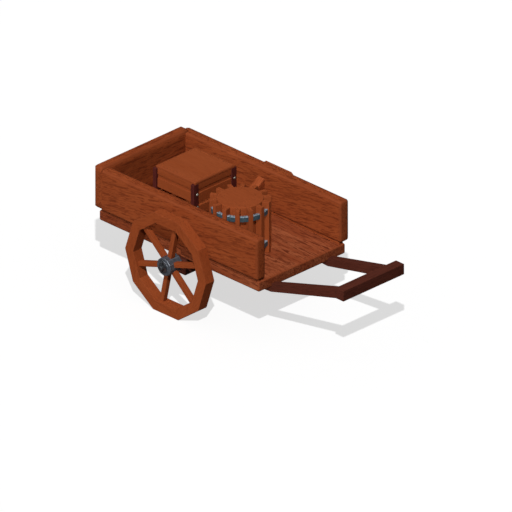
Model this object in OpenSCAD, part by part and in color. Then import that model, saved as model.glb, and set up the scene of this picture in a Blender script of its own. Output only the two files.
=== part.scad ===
// Two-wheeled timber hand cart for a mine, standing loaded.
// +X points forwards to the handle, +Y to the left, +Z up.
// The origin is on the ground, under the middle of the cart's overall length and width.

/* [Bed] */
// Length of the floor, front to back
bed_length = 1200; // [950:25:1500]
// Width of the floor
bed_width = 650; // [560:10:800]
// Thickness of the floor planks
floor_thickness = 60; // [45:1:80]
// Height of the side boards above the floor
side_height = 258; // [190:1:330]
// How much higher the tailboard is than the side boards
tailboard_higher = 12; // [0:1:30]
// Thickness of the side boards and tailboard
board_thickness = 65; // [55:1:80]
// How far a side board stands out past the floor's edge
side_overhang = 20; // [0:1:22]
// How far the tailboard stands out behind the side boards
tailboard_proud = 20; // [0:1:30]

/* [Wheels and axle] */
// Radius of a wheel, measured to the corners of its rim
wheel_radius = 304; // [250:1:370]
// Width of the rim along the axle
rim_width = 66; // [45:1:80]
// Depth of the rim, from tread to inner face
rim_depth = 60; // [45:1:75]
// Side of a square spoke
spoke_size = 30; // [20:1:36]
// Radius of the iron hub, measured to its corners
hub_radius = 52; // [46:1:70]
// Length of the iron hub
hub_length = 98; // [80:1:120]
// Radius of the axle rod
axle_radius = 16; // [12:0.5:20]
// Distance of the axle behind the floor's front edge
axle_setback = 600; // [500:10:700]
// Distance of the axle's centre below the floor
axle_drop = 23; // [18:1:45]
// Gap between a side board and its wheel's rim
wheel_gap = 15.5; // [10:0.5:40]

/* [Handle] */
// Distance over the two arms where they leave the floor
arm_spread = 462; // [380:2:500]
// Width of an arm
arm_width = 39; // [30:1:50]
// Upright depth of an arm
arm_depth = 51; // [40:1:60]
// How far the crossbar stands in front of the floor
handle_reach = 536.5; // [450:5:650]
// Height of the crossbar's underside above the floor's underside
handle_rise = 103.5; // [60:5:140]
// Length of the crossbar
crossbar_length = 456; // [420:2:520]
// Side of the square crossbar
crossbar_size = 62; // [50:1:75]

/* [Load] */
// Length of the crate, along the cart
crate_length = 309; // [240:1:360]
// Width of the crate, across the cart
crate_width = 322; // [240:1:360]
// Height of the crate
crate_height = 306; // [240:1:360]
// Radius of the barrel over its fender strips
barrel_radius = 167; // [137:1:195]
// Height of the barrel
barrel_height = 302; // [240:1:360]
// Width of the pit prop along the cart
prop_width = 53; // [40:1:60]
// Lean of the pit prop above the floor, in degrees
prop_lean = 34; // [25:1:38]

/* [Hidden] */
PLANKS = 5;
SPOKES = 6;
RIM_SIDES = 10;
FELLOES = 5;
HUB_SIDES = 12;
STRIPS = 14;
SLATS = 4;
SIDES = ["left", "right"];

function numbered(base, count) = [for (i = [1:count]) str(base, "_", i)];
function sided(base) = [for (side = SIDES) str(base, "_", side)];
function wheel_nodes(side) = concat(
    [str("hub_", side), str("bush_", side), str("rim_", side)],
    numbered(str("spoke_", side), SPOKES));

// Colours of the woods and metals
WOOD = [0.51, 0.24, 0.12];
DARK_WOOD = [0.27, 0.13, 0.09];
POST_WOOD = [0.20, 0.08, 0.08];
IRON = [0.33, 0.35, 0.38];
HOOP_IRON = [0.30, 0.38, 0.42];
NAIL_IRON = [0.72, 0.72, 0.68];

// Clearances
plank_gap = 0.6;
felloe_gap = 0.4;
running = 0.08;
side_play = 0.25;
load_gap = 0.4;
through = 2;

// Edges
floor_chamfer = 10;
board_chamfer = 12;
small_chamfer = 6;
lid_chamfer = 7;
base_chamfer = 3;
post_chamfer = 2;

// Wheel, worked out in its own plane
rim_apothem = wheel_radius * cos(180 / RIM_SIDES);
rim_inner_apothem = rim_apothem - rim_depth;
rim_inner_radius = rim_inner_apothem / cos(180 / RIM_SIDES);
spoke_phase = 18;
hub_apothem = hub_radius * cos(180 / HUB_SIDES);
tenon_size = spoke_size - 10;
rim_tenon = rim_depth * 0.55;
hub_tenon = 13;
bush_wall = 8;
bush_radius = axle_radius + bush_wall;

// Heights above the ground
axle_z = rim_apothem;
floor_bottom = axle_z + axle_drop;
floor_top = floor_bottom + floor_thickness;
side_top = floor_top + side_height;
tailboard_top = side_top + tailboard_higher;

// Places along the cart
side_end = 6;
floor_setback = 1.5;
tailboard_let_in = 32;
overall_length = tailboard_proud + floor_setback + bed_length + handle_reach;
tail_x = -overall_length / 2;
bed_rear = tail_x + tailboard_proud + floor_setback;
bed_front = bed_rear + bed_length;
tailboard_face = tail_x + board_thickness;
side_rear = tail_x + tailboard_proud;
side_front = bed_front + side_end;
axle_x = bed_front - axle_setback;
bar_front = bed_front + handle_reach;
bar_rear = bar_front - crossbar_size;

// Places across the cart
side_outer = bed_width / 2 + side_overhang;
side_inner = side_outer - board_thickness;
tailboard_left = side_inner + tailboard_let_in;
tailboard_right = side_outer;
wheel_y = side_outer + wheel_gap + rim_width / 2;
hub_inner = wheel_y - hub_length / 2;
hub_outer = wheel_y + hub_length / 2;
washer_thickness = 5;
washer_radius = bush_radius + 6;
linchpin_radius = 4;
linchpin_y = hub_outer + 2 * side_play + washer_thickness + linchpin_radius;
axle_end = 15.5;
axle_half = linchpin_y + axle_end;
linchpin_low = 28;
linchpin_high = 30;
linchpin_eye = 9;
linchpin_wire = 2.5;
beam_half = hub_inner - washer_thickness - 2 * side_play;

// Narrow feet that lift the boards' lower edges off the floor
foot_inset = 8;
side_foot = 14.5;
tailboard_foot = 18;
side_foot_y = [side_inner + foot_inset, bed_width / 2 - floor_chamfer];
tailboard_foot_x = [bed_rear + floor_chamfer, tailboard_face - foot_inset];

// Axle beam, bolster and batten under the floor
beam_width = 124;
beam_depth = 90;
bolster_width = 120;
bolster_depth = 44;
bolster_past_arms = 6;
bolster_half = arm_spread / 2 + bolster_past_arms;
bolster_setback = 85;
bolster_front = bed_front - bolster_setback;
batten_width = 70;
batten_depth = 40;
batten_short = 70;
batten_half = bed_width / 2 - batten_short;
batten_inset = 110;
batten_x = bed_rear + batten_inset;

// Handle
arm_tongue = 30;
arm_tail = 215;
arm_outer = arm_spread / 2;
bar_overlap = 34;
arm_outer_front = crossbar_length / 2 - bar_overlap;
arm_run = bar_rear - bed_front;
arm_taper = (arm_outer - arm_outer_front) / arm_run;
arm_bottom = floor_bottom - arm_tongue;
bar_sits_above_arm = 8;
arm_deepens = 8;
arm_bottom_front = floor_bottom + handle_rise - bar_sits_above_arm;
arm_tenon = 42;
arm_tenon_depth = 25;
arm_tenon_z = arm_bottom_front + (arm_depth - arm_tenon_depth) / 2;

// Fastenings
bolt_radius = 6;
bolt_head_radius = 11;
bolt_head = 8;
bolt_bite = 45;
nail_radius = 3;
nail_head_radius = 7;
nail_head = 3;
spike_radius = 4;
spike_bite = 75;
spike_inset = 112;
spike_beam_gap = 60;
spike_x = [bed_rear + spike_inset, axle_x - beam_width / 2 - spike_beam_gap,
           axle_x + beam_width / 2 + spike_beam_gap, bed_front - spike_inset];
spike_y = (side_foot_y[0] + side_foot_y[1]) / 2;
tail_nail_y = [(side_inner + tailboard_left) / 2, -(side_inner + side_outer) / 2];
tail_nail_share = [0.2, 0.5, 0.8];
tail_nail_bite = 50;
floor_nail_edge = 20;
peg_radius = 6;
peg_cover = 8;
beam_bolt_dx = 38;
beam_bolt_y = bed_width / 3;
arm_bolt_edge = 30;

// Crate: posts at the corners, four slats a side, base and lid
post_x = 25;
post_y = 38;
post_proud = 12;
crate_gap = 210;
crate_rear = tailboard_face + crate_gap;
crate_front = crate_rear + crate_length;
crate_y = -14.5;
crate_foot = floor_top + load_gap;
crate_top = crate_foot + crate_height;
lid_thickness = 16;
lid_underside = crate_top - lid_thickness;
slat_thickness = 20;
slat_gap = 20;
slat_setback = 3;
base_thickness = 22;
base_to_slat = 4;
crate_nail_radius = 8;
crate_nail_head = 4;
crate_nail_bite = 14;
crate_nail_drop = 4.5;
crate_nail_y = [27, 22];
crate_half = crate_width / 2;
crate_slats_foot = crate_foot + base_thickness + base_to_slat;
slat_pitch = (lid_underside - crate_slats_foot + slat_gap) / (SLATS - 0.25);
slat_height = slat_pitch - slat_gap;

// Pit prop, between the crate and the barrel
prop_clear = 26;
prop_rear = crate_front + prop_clear;
prop_front = prop_rear + prop_width;
prop_depth = prop_width + 3;
prop_end = side_inner - load_gap;
prop_rise = 201;
prop_toe = 10;

// Barrel, beside the right side board
barrel_clear_x = 36;
barrel_clear_y = 3;
barrel_x = prop_front + barrel_clear_x + barrel_radius;
barrel_y = -side_inner + barrel_clear_y + barrel_radius;
barrel_foot = floor_top + load_gap;
strip_depth = 42;
strip_width = 26;
stave_radius = barrel_radius - strip_depth;
stave_thickness = 24;
head_thickness = 18;
hoop_thickness = 18;
hoop_clear = 16;
hoop_height = 30;
hoop_inset = 40;
hoop_upper_z = barrel_height - hoop_inset - hoop_height;
hoop_lower_z = 45;
stave_gap = 0.4;
strip_phase = 1.43;
strip_overlap = 6;
bottom_inset = 8;

// A box whose twelve edges are cut off, standing on its own corner
module chamfered_box(size, cut) {
    intersection() {
        linear_extrude(size[2]) cut_rectangle(size[0], size[1], cut);
        translate([0, size[1], 0]) rotate([90, 0, 0]) linear_extrude(size[1])
            cut_rectangle(size[0], size[2], cut);
        rotate([90, 0, 90]) linear_extrude(size[0]) cut_rectangle(size[1], size[2], cut);
    }
}

module cut_rectangle(w, h, cut) {
    polygon([[cut, 0], [w - cut, 0], [w, cut], [w, h - cut],
             [w - cut, h], [cut, h], [0, h - cut], [0, cut]]);
}

// The same box, set between two corners
module block(low, high, cut) {
    translate(low) chamfered_box(high - low, cut);
}

module upright(place, radius, low, high) {
    translate([place[0], place[1], low]) cylinder(r = radius, h = high - low, $fn = 48);
}

// Flips what is built on the left over to the right
module on_side(side) {
    if (side == "left") children();
    else mirror([0, 1, 0]) children();
}

// --- Fastening places, shared by the fastener and every piece that it goes through

module beam_bolt_shanks() {
    for (dx = [-beam_bolt_dx, beam_bolt_dx], sy = [-1, 1])
        upright([axle_x + dx, sy * beam_bolt_y], bolt_radius,
                floor_bottom - beam_depth, floor_bottom + bolt_bite);
}

function arm_middle(x) = arm_outer - arm_taper * (x - bed_front) - arm_width / 2;
arm_bolt_x = [bolster_front - arm_bolt_edge, bolster_front - bolster_width + arm_bolt_edge];

module arm_bolt_shanks() {
    for (x = arm_bolt_x, sy = [-1, 1])
        upright([x, sy * arm_middle(x)], bolt_radius,
                floor_bottom - bolster_depth, floor_bottom + bolt_bite);
}

plank_width = bed_width / PLANKS;
function plank_middle(i) = -bed_width / 2 + (i - 0.5) * plank_width;
function nail_y(i) = sign(plank_middle(i)) * min(abs(plank_middle(i)), batten_half - floor_nail_edge);

module floor_nail_shanks() {
    for (i = [1:PLANKS])
        upright([batten_x + batten_width / 2, nail_y(i)], nail_radius,
                floor_bottom - batten_depth, floor_bottom + bolt_bite);
}

// The spikes keep clear of the axle beam, so that their heads lie on the floor's underside,
// and clear of the tailboard's nails
module side_spike_shanks() {
    for (x = spike_x, sy = [-1, 1])
        upright([x, sy * spike_y], spike_radius, floor_bottom, floor_top + spike_bite);
}

module tailboard_nail_shanks() {
    for (share = tail_nail_share, y = tail_nail_y)
        translate([tail_x, y, floor_top + share * side_height])
            rotate([0, 90, 0])
                cylinder(r = nail_radius, h = board_thickness + tail_nail_bite, $fn = 48);
}

// The heads are sunk flush with the tailboard's back
module tailboard_nail_heads() {
    for (share = tail_nail_share, y = tail_nail_y)
        translate([tail_x, y, floor_top + share * side_height])
            rotate([0, 90, 0]) cylinder(r = nail_head_radius, h = nail_head, $fn = 48);
}

peg_x = bar_rear + arm_tenon / 2;

module crossbar_peg_shanks() {
    for (sy = [-1, 1])
        upright([peg_x, sy * arm_middle(peg_x)], peg_radius,
                floor_bottom + handle_rise, arm_tenon_z + arm_tenon_depth + peg_cover);
}

// --- Bed

module floor_plank(i) {
    low = -bed_width / 2 + (i - 1) * plank_width;
    color(WOOD) difference() {
        intersection() {
            block([bed_rear, -bed_width / 2, floor_bottom],
                  [bed_front, bed_width / 2, floor_top], floor_chamfer);
            translate([bed_rear - 1, low + (i > 1 ? plank_gap / 2 : 0), floor_bottom - 1])
                cube([bed_length + 2,
                      plank_width - (i > 1 ? plank_gap / 2 : 0) - (i < PLANKS ? plank_gap / 2 : 0),
                      floor_thickness + 2]);
        }
        beam_bolt_shanks();
        arm_bolt_shanks();
        floor_nail_shanks();
        side_spike_shanks();
    }
}

// The left board is rebated for the tailboard; the right one stops against its face
module side_board(side) {
    let_in = side == "left" ? tailboard_let_in : board_thickness + 1;
    color(WOOD) difference() {
        on_side(side) difference() {
            union() {
                block([side_rear, side_inner, floor_top + side_foot],
                      [side_front, side_outer, side_top], board_chamfer);
                translate([tailboard_face + foot_inset, side_foot_y[0], floor_top])
                    cube([bed_front - floor_chamfer - foot_inset - tailboard_face,
                          side_foot_y[1] - side_foot_y[0], side_foot + board_chamfer]);
            }
            translate([side_rear - 1, side_inner - 1, floor_top - 1])
                cube([tailboard_face - side_rear + 1, let_in + 1, side_height + 2]);
        }
        side_spike_shanks();
        tailboard_nail_shanks();
    }
}

// Its corner against the right board is left square, so that the two close up
module tailboard() {
    low = floor_top + tailboard_foot;
    color(WOOD) difference() {
        union() {
            block([tail_x, -tailboard_right, low],
                  [tailboard_face, tailboard_left, tailboard_top], board_chamfer);
            translate([tailboard_face - board_chamfer, -tailboard_right, low + board_chamfer])
                cube([board_chamfer, board_chamfer, tailboard_top - low - 2 * board_chamfer]);
            translate([tailboard_foot_x[0], -side_foot_y[1], floor_top])
                cube([tailboard_foot_x[1] - tailboard_foot_x[0], side_foot_y[1] + side_foot_y[0],
                      tailboard_foot + board_chamfer]);
        }
        tailboard_nail_shanks();
        tailboard_nail_heads();
    }
}

module axle_beam() {
    color(DARK_WOOD) difference() {
        block([axle_x - beam_width / 2, -beam_half, floor_bottom - beam_depth],
              [axle_x + beam_width / 2, beam_half, floor_bottom], small_chamfer);
        axle_rod(beam_half + through);
        beam_bolt_shanks();
    }
}

module front_bolster() {
    color(DARK_WOOD) difference() {
        block([bolster_front - bolster_width, -bolster_half, floor_bottom - bolster_depth],
              [bolster_front, bolster_half, floor_bottom], small_chamfer);
        for (side = SIDES) arm_blank(side);
        arm_bolt_shanks();
    }
}

module rear_batten() {
    color(DARK_WOOD) difference() {
        block([batten_x, -batten_half, floor_bottom - batten_depth],
              [batten_x + batten_width, batten_half, floor_bottom], small_chamfer);
        floor_nail_shanks();
    }
}

module beam_bolts() {
    color(IRON) {
        beam_bolt_shanks();
        for (dx = [-beam_bolt_dx, beam_bolt_dx], sy = [-1, 1])
            translate([axle_x + dx, sy * beam_bolt_y, floor_bottom - beam_depth - bolt_head])
                cylinder(r = bolt_head_radius, h = bolt_head, $fn = 6);
    }
}

module arm_bolts() {
    color(IRON) {
        arm_bolt_shanks();
        for (x = arm_bolt_x, sy = [-1, 1])
            translate([x, sy * arm_middle(x), floor_bottom - bolster_depth - bolt_head])
                cylinder(r = bolt_head_radius, h = bolt_head, $fn = 6);
    }
}

module floor_nails() {
    color(IRON) {
        floor_nail_shanks();
        for (i = [1:PLANKS])
            upright([batten_x + batten_width / 2, nail_y(i)], nail_head_radius,
                    floor_bottom - batten_depth - nail_head, floor_bottom - batten_depth);
    }
}

module side_spikes() {
    color(IRON) {
        side_spike_shanks();
        for (x = spike_x, sy = [-1, 1])
            upright([x, sy * spike_y], nail_head_radius,
                    floor_bottom - nail_head, floor_bottom);
    }
}

module tailboard_nails() {
    color(IRON) {
        tailboard_nail_shanks();
        tailboard_nail_heads();
    }
}

// --- Handle

// One arm before it is drilled: a side outline that rises, cut to a band that leans inwards
module arm_blank(side) {
    tail = bed_front - arm_tail;
    on_side(side) intersection() {
        translate([0, bed_width, 0]) rotate([90, 0, 0]) linear_extrude(bed_width)
            polygon([[tail, arm_bottom], [tail, floor_bottom], [bed_front, floor_bottom],
                     [bed_front, arm_bottom + arm_depth],
                     [bar_rear, arm_bottom_front + arm_depth],
                     [bar_rear, arm_tenon_z + arm_tenon_depth],
                     [bar_rear + arm_tenon, arm_tenon_z + arm_tenon_depth],
                     [bar_rear + arm_tenon, arm_tenon_z], [bar_rear, arm_tenon_z],
                     [bar_rear, arm_bottom_front - arm_deepens], [bed_front, arm_bottom]]);
        translate([0, 0, arm_bottom - 1]) linear_extrude(handle_rise + arm_depth + 60)
            polygon([for (x = [tail, bar_front]) [x, arm_middle(x) + arm_width / 2],
                     for (x = [bar_front, tail]) [x, arm_middle(x) - arm_width / 2]]);
    }
}

module arm(side) {
    color(DARK_WOOD) difference() {
        arm_blank(side);
        arm_bolt_shanks();
        crossbar_peg_shanks();
    }
}

module crossbar() {
    color(DARK_WOOD) difference() {
        block([bar_rear, -crossbar_length / 2, floor_bottom + handle_rise],
              [bar_front, crossbar_length / 2, floor_bottom + handle_rise + crossbar_size],
              small_chamfer);
        for (side = SIDES) arm_blank(side);
        crossbar_peg_shanks();
    }
}

module crossbar_pegs() {
    color(DARK_WOOD) crossbar_peg_shanks();
}

// --- Axle and wheels

module axle_rod(half) {
    translate([axle_x, half, axle_z]) rotate([90, 0, 0])
        cylinder(r = axle_radius, h = 2 * half, $fn = 64);
}

module axle() {
    color(IRON) difference() {
        axle_rod(axle_half);
        for (sy = [-1, 1])
            upright([axle_x, sy * linchpin_y], linchpin_radius, axle_z - 40, axle_z + 40);
    }
}

module washer(side, low) {
    color(IRON) on_side(side) translate([axle_x, low + washer_thickness, axle_z])
        rotate([90, 0, 0]) difference() {
            cylinder(r = washer_radius, h = washer_thickness, $fn = 48);
            translate([0, 0, -1])
                cylinder(r = axle_radius, h = washer_thickness + 2, $fn = 64);
        }
}

module linchpin(side) {
    color(IRON) on_side(side) {
        upright([axle_x, linchpin_y], linchpin_radius, axle_z - linchpin_low,
                axle_z + linchpin_high);
        translate([axle_x, linchpin_y, axle_z + linchpin_high + linchpin_eye - 1])
            rotate([90, 0, 0]) rotate_extrude($fn = 40) translate([linchpin_eye, 0])
                circle(r = linchpin_wire, $fn = 20);
    }
}

// Sets a wheel piece, drawn flat about the origin, on the axle
module on_axle(side) {
    on_side(side) translate([axle_x, wheel_y, axle_z]) rotate([90, 0, 0]) children();
}

module hub(side) {
    color(IRON) on_axle(side) difference() {
        rotate([0, 0, spoke_phase - 180 / HUB_SIDES])
            cylinder(r = hub_radius, h = hub_length, center = true, $fn = HUB_SIDES);
        cylinder(r = bush_radius, h = hub_length + 2, center = true, $fn = 64);
        spoke_tenons();
    }
}

module bush(side) {
    color(HOOP_IRON) on_axle(side) difference() {
        cylinder(r = bush_radius, h = hub_length, center = true, $fn = 64);
        cylinder(r = axle_radius + running, h = hub_length + 2, center = true, $fn = 64);
    }
}

module rim(side) {
    color(WOOD) on_axle(side) difference() {
        cylinder(r = wheel_radius, h = rim_width, center = true, $fn = RIM_SIDES);
        cylinder(r = rim_inner_radius, h = rim_width + 2, center = true, $fn = RIM_SIDES);
        for (k = [0:FELLOES - 1])
            rotate([0, 0, k * 360 / FELLOES]) translate([0, -felloe_gap / 2, -rim_width])
                cube([wheel_radius + 1, felloe_gap, 2 * rim_width]);
        spoke_tenons();
    }
}

module spoke_tenons() {
    for (k = [1:SPOKES]) spoke_tenon(k);
}

module spoke_tenon(k) {
    low = hub_apothem - hub_tenon;
    rotate([0, 0, spoke_angle(k)])
        translate([low, -tenon_size / 2, -tenon_size / 2])
            cube([rim_inner_apothem + rim_tenon - low, tenon_size, tenon_size]);
}

function spoke_angle(k) = spoke_phase + (k - 1) * 360 / SPOKES;

module spoke(side, k) {
    color(WOOD) on_axle(side) {
        intersection() {
            rotate([0, 0, spoke_angle(k)])
                translate([hub_apothem, -spoke_size / 2, -spoke_size / 2])
                    cube([rim_inner_radius, spoke_size, spoke_size]);
            cylinder(r = rim_inner_radius, h = rim_width, center = true, $fn = RIM_SIDES);
        }
        spoke_tenon(k);
    }
}

// --- Crate

post_x_low = [crate_rear, crate_front - post_x];
post_y_low = [crate_y - crate_half, crate_y + crate_half - post_y];
slat_y_low = crate_y - crate_half + post_proud;
slat_y_high = crate_y + crate_half - post_proud;
slat_x_low = crate_rear + post_proud;
slat_x_high = crate_front - slat_setback;

module crate_posts() {
    color(POST_WOOD) difference() {
        for (x = post_x_low, y = post_y_low)
            block([x, y, crate_foot], [x + post_x, y + post_y, lid_underside], post_chamfer);
        crate_rails();
        crate_nail_shanks();
    }
}

function slat_low(k) = crate_slats_foot + k * slat_pitch;
function slat_high(k) = min(slat_low(k) + slat_height, lid_underside);

// Slats as plain boards, from which the posts are housed
module crate_rails() {
    for (k = [0:SLATS - 1]) {
        for (y = [slat_y_low, slat_y_high - slat_thickness])
            translate([slat_x_low, y, slat_low(k)])
                cube([slat_x_high - slat_x_low, slat_thickness, slat_high(k) - slat_low(k)]);
        for (x = [slat_x_low, slat_x_high - slat_thickness])
            translate([x, slat_y_low, slat_low(k)])
                cube([slat_thickness, slat_y_high - slat_y_low, slat_high(k) - slat_low(k)]);
    }
}

module crate_side_slats() {
    color(WOOD) difference() {
        for (k = [0:SLATS - 1], y = [slat_y_low, slat_y_high - slat_thickness])
            translate([slat_x_low, y, slat_low(k)])
                cube([slat_x_high - slat_x_low, slat_thickness, slat_high(k) - slat_low(k)]);
        crate_nail_shanks();
    }
}

module crate_end_slats() {
    color(WOOD) difference() {
        for (k = [0:SLATS - 1], x = [slat_x_low, slat_x_high - slat_thickness])
            translate([x, slat_y_low + slat_thickness, slat_low(k)])
                cube([slat_thickness, slat_y_high - slat_y_low - 2 * slat_thickness,
                      slat_high(k) - slat_low(k)]);
        crate_nail_shanks();
    }
}

module crate_base() {
    color(WOOD) difference() {
        block([slat_x_low, slat_y_low, crate_foot], [slat_x_high, slat_y_high,
              crate_foot + base_thickness], base_chamfer);
        for (x = post_x_low, y = post_y_low)
            translate([x, y, crate_foot - 1]) cube([post_x, post_y, crate_height]);
    }
}

module crate_lid() {
    color(WOOD) block([slat_x_low, slat_y_low, lid_underside],
                      [crate_front, slat_y_high, crate_top], lid_chamfer);
}

function crate_nail_z(k) = slat_high(k) - crate_nail_drop;
crate_nail_places = [
    for (k = [0:SLATS - 2], end = [[crate_front, -1], [crate_rear, 1]], side = [0, 1])
        [end[0], end[1], post_y_low[side] + crate_nail_y[side], crate_nail_z(k)]];

// Nails through the posts into the ends of the side slats
module crate_nail_shanks() {
    for (p = crate_nail_places)
        translate([p[0], p[2], p[3]]) rotate([0, p[1] * 90, 0])
            cylinder(r = nail_radius, h = post_x + crate_nail_bite, $fn = 32);
}

module crate_nails() {
    color(NAIL_IRON) {
        crate_nail_shanks();
        for (p = crate_nail_places)
            translate([p[0], p[2], p[3]]) rotate([0, -p[1] * 90, 0])
                cylinder(r1 = crate_nail_radius, r2 = crate_nail_radius / 2,
                         h = crate_nail_head, $fn = 32);
    }
}

// --- Barrel

module barrel_staves() {
    color(WOOD) translate([barrel_x, barrel_y, barrel_foot]) difference() {
        cylinder(r = stave_radius, h = barrel_height - head_thickness, $fn = 96);
        translate([0, 0, -1])
            cylinder(r = stave_radius - stave_thickness, h = barrel_height, $fn = 96);
        for (k = [0:STRIPS - 1])
            rotate([0, 0, strip_phase + (k + 0.5) * 360 / STRIPS]) translate([0, -stave_gap / 2, -1])
                cube([barrel_radius, stave_gap, barrel_height + 2]);
    }
}

module barrel_head() {
    color(WOOD) translate([barrel_x, barrel_y, barrel_foot + barrel_height - head_thickness])
        cylinder(r = stave_radius, h = head_thickness, $fn = 96);
}

module barrel_bottom() {
    color(WOOD) translate([barrel_x, barrel_y, barrel_foot + bottom_inset])
        cylinder(r = stave_radius - stave_thickness, h = head_thickness, $fn = 96);
}

module hoop(z) {
    color(HOOP_IRON) hoop_ring(z);
}

// A hoop lies in notches in the strips and stands clear of the staves
module hoop_ring(z) {
    inner = stave_radius + hoop_clear;
    translate([barrel_x, barrel_y, barrel_foot + z]) difference() {
        cylinder(r = inner + hoop_thickness, h = hoop_height, $fn = 96);
        translate([0, 0, -1]) cylinder(r = inner, h = hoop_height + 2, $fn = 96);
    }
}

module barrel_strips() {
    color(WOOD) difference() {
        translate([barrel_x, barrel_y, barrel_foot]) difference() {
            for (k = [0:STRIPS - 1])
                rotate([0, 0, strip_phase + k * 360 / STRIPS])
                    translate([stave_radius - strip_overlap, -strip_width / 2, 0])
                        cube([strip_depth + strip_overlap, strip_width, barrel_height]);
            translate([0, 0, -1]) cylinder(r = stave_radius, h = barrel_height + 2, $fn = 96);
        }
        hoop_ring(hoop_upper_z);
        hoop_ring(hoop_lower_z);
    }
}

// --- Pit prop, leaning from the floor up to the left side board

module pit_prop() {
    run = prop_rise / tan(prop_lean);
    heel = (prop_rise - prop_depth / cos(prop_lean)) / tan(prop_lean);
    toe = prop_toe / tan(prop_lean);
    color(WOOD) translate([prop_rear, 0, floor_top + load_gap]) rotate([90, 0, 90])
        linear_extrude(prop_width)
            polygon([[prop_end, prop_rise], [prop_end, prop_rise - prop_depth / cos(prop_lean)],
                     [prop_end - heel, 0], [prop_end - run + toe, 0],
                     [prop_end - run + toe, prop_toe]]);
}

for (i = [1:PLANKS]) floor_plank(i);
for (side = SIDES) {
    side_board(side);
    arm(side);
    washer(side, beam_half + side_play);
    washer(side, hub_outer + side_play);
    linchpin(side);
    hub(side);
    bush(side);
    rim(side);
    for (k = [1:SPOKES])
        spoke(side, k);
}
tailboard();
axle_beam();
front_bolster();
rear_batten();
axle();
crossbar();
beam_bolts();
arm_bolts();
floor_nails();
side_spikes();
tailboard_nails();
crossbar_pegs();
crate_posts();
crate_side_slats();
crate_end_slats();
crate_base();
crate_lid();
crate_nails();
barrel_staves();
barrel_head();
barrel_bottom();
hoop(hoop_upper_z);  // barrel_hoop_upper
hoop(hoop_lower_z);  // barrel_hoop_lower
barrel_strips();
pit_prop();
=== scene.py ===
"""A hand-drawn timber mine cart with its load, modelled and dressed around its fixed frame.

Lengths are in metres. +X points forwards to the handle, +Y to the cart's left and +Z up.
"""

from __future__ import annotations

import functools
import logging
import math
from dataclasses import dataclass
from enum import Enum
from typing import Callable, Iterable, Sequence, Union

import bmesh
import bpy
from mathutils import Matrix, Vector, noise


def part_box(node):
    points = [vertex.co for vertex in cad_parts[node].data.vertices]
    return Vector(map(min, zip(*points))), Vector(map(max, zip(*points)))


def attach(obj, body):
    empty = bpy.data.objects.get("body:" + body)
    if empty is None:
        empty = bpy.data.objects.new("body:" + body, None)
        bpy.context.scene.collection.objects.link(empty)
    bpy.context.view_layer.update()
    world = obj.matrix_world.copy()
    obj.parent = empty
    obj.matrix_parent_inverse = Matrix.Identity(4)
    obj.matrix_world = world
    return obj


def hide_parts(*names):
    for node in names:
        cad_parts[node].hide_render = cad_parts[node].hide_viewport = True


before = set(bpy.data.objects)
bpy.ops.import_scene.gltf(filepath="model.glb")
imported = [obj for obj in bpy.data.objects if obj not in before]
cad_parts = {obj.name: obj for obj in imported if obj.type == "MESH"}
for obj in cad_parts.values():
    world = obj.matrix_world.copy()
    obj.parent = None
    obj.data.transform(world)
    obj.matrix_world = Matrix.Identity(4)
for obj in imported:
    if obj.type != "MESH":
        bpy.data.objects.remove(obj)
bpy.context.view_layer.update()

log = logging.getLogger("mine_cart")

MM = 0.001
SIDES = {"left": 1, "right": -1}
# The second attribute masks painted light and wear: painted shade on rounded timber edges, wear on
# rounded metal edges, and a painted highlight on faces picked out.
GRAIN, PAINTED_LIGHT_AND_WEAR = "grain", "painted_light_and_wear"
SHARP_EDGE = math.radians(25)
MERGE = 0.01 * MM
Point = Sequence[float]
Colour = tuple[float, float, float, float]


class Axis(Enum):
    """The three axes of the cart."""

    X = 0
    Y = 1
    Z = 2

    @property
    def unit(self) -> Vector:
        """The axis as a vector one long."""
        return Vector(float(i == self.value) for i in range(3))


def box(node: str) -> tuple[Vector, Vector]:
    """Finds where a node of the frame lies.

    Args:
        node: The node's name.

    Returns:
        Its lowest and its highest corner.
    """
    low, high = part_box(node)
    return Vector(low), Vector(high)


def centre(node: str) -> Vector:
    """Returns the middle of a node's box."""
    low, high = box(node)
    return (low + high) / 2


def half(node: str, axis: Axis = Axis.X) -> float:
    """Returns half of a node's size along an axis, which is a round node's radius across it."""
    low, high = box(node)
    return (high[axis.value] - low[axis.value]) / 2


def floor_box() -> tuple[Vector, Vector]:
    """Returns the lowest and the highest corner of the whole floor."""
    return box("floor_plank_1")[0], box("floor_plank_5")[1]


def collar(inner: float, outer: float, low: float, high: float,
           cut: float) -> list[tuple[float, float]]:
    """Outlines a collar or rod with both outer rims chamfered, for turning.

    Args:
        inner: Its inner radius, or 0 for a rod.
        outer: Its outer radius.
        low: Where it starts along its axis.
        high: Where it ends along its axis.
        cut: The size of the chamfers.

    Returns:
        Pairs of radius and height.
    """
    return [(inner, low), (outer - cut, low), (outer, low + cut), (outer, high - cut),
            (outer - cut, high), (inner, high)]


def linear(red: int, green: int, blue: int) -> Colour:
    """Turns a colour as a paint chart gives it, 0 to 255, into shader values.

    Args:
        red: Red, 0 to 255.
        green: Green, 0 to 255.
        blue: Blue, 0 to 255.

    Returns:
        The colour in linear light, with full alpha.
    """

    def channel(value: int) -> float:
        """Undoes the display curve of one channel."""
        share = value / 255
        return share / 12.92 if share <= 0.04045 else ((share + 0.055) / 1.055) ** 2.4

    return (channel(red), channel(green), channel(blue), 1.0)


# --- Finishes


@dataclass(frozen=True)
class Pattern:
    """Spots of cloudy noise: clouds per metre, octaves, and the noise where spots begin and end."""

    scale: Point
    detail: float
    low: float
    high: float
    distortion: float = 0.0


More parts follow.
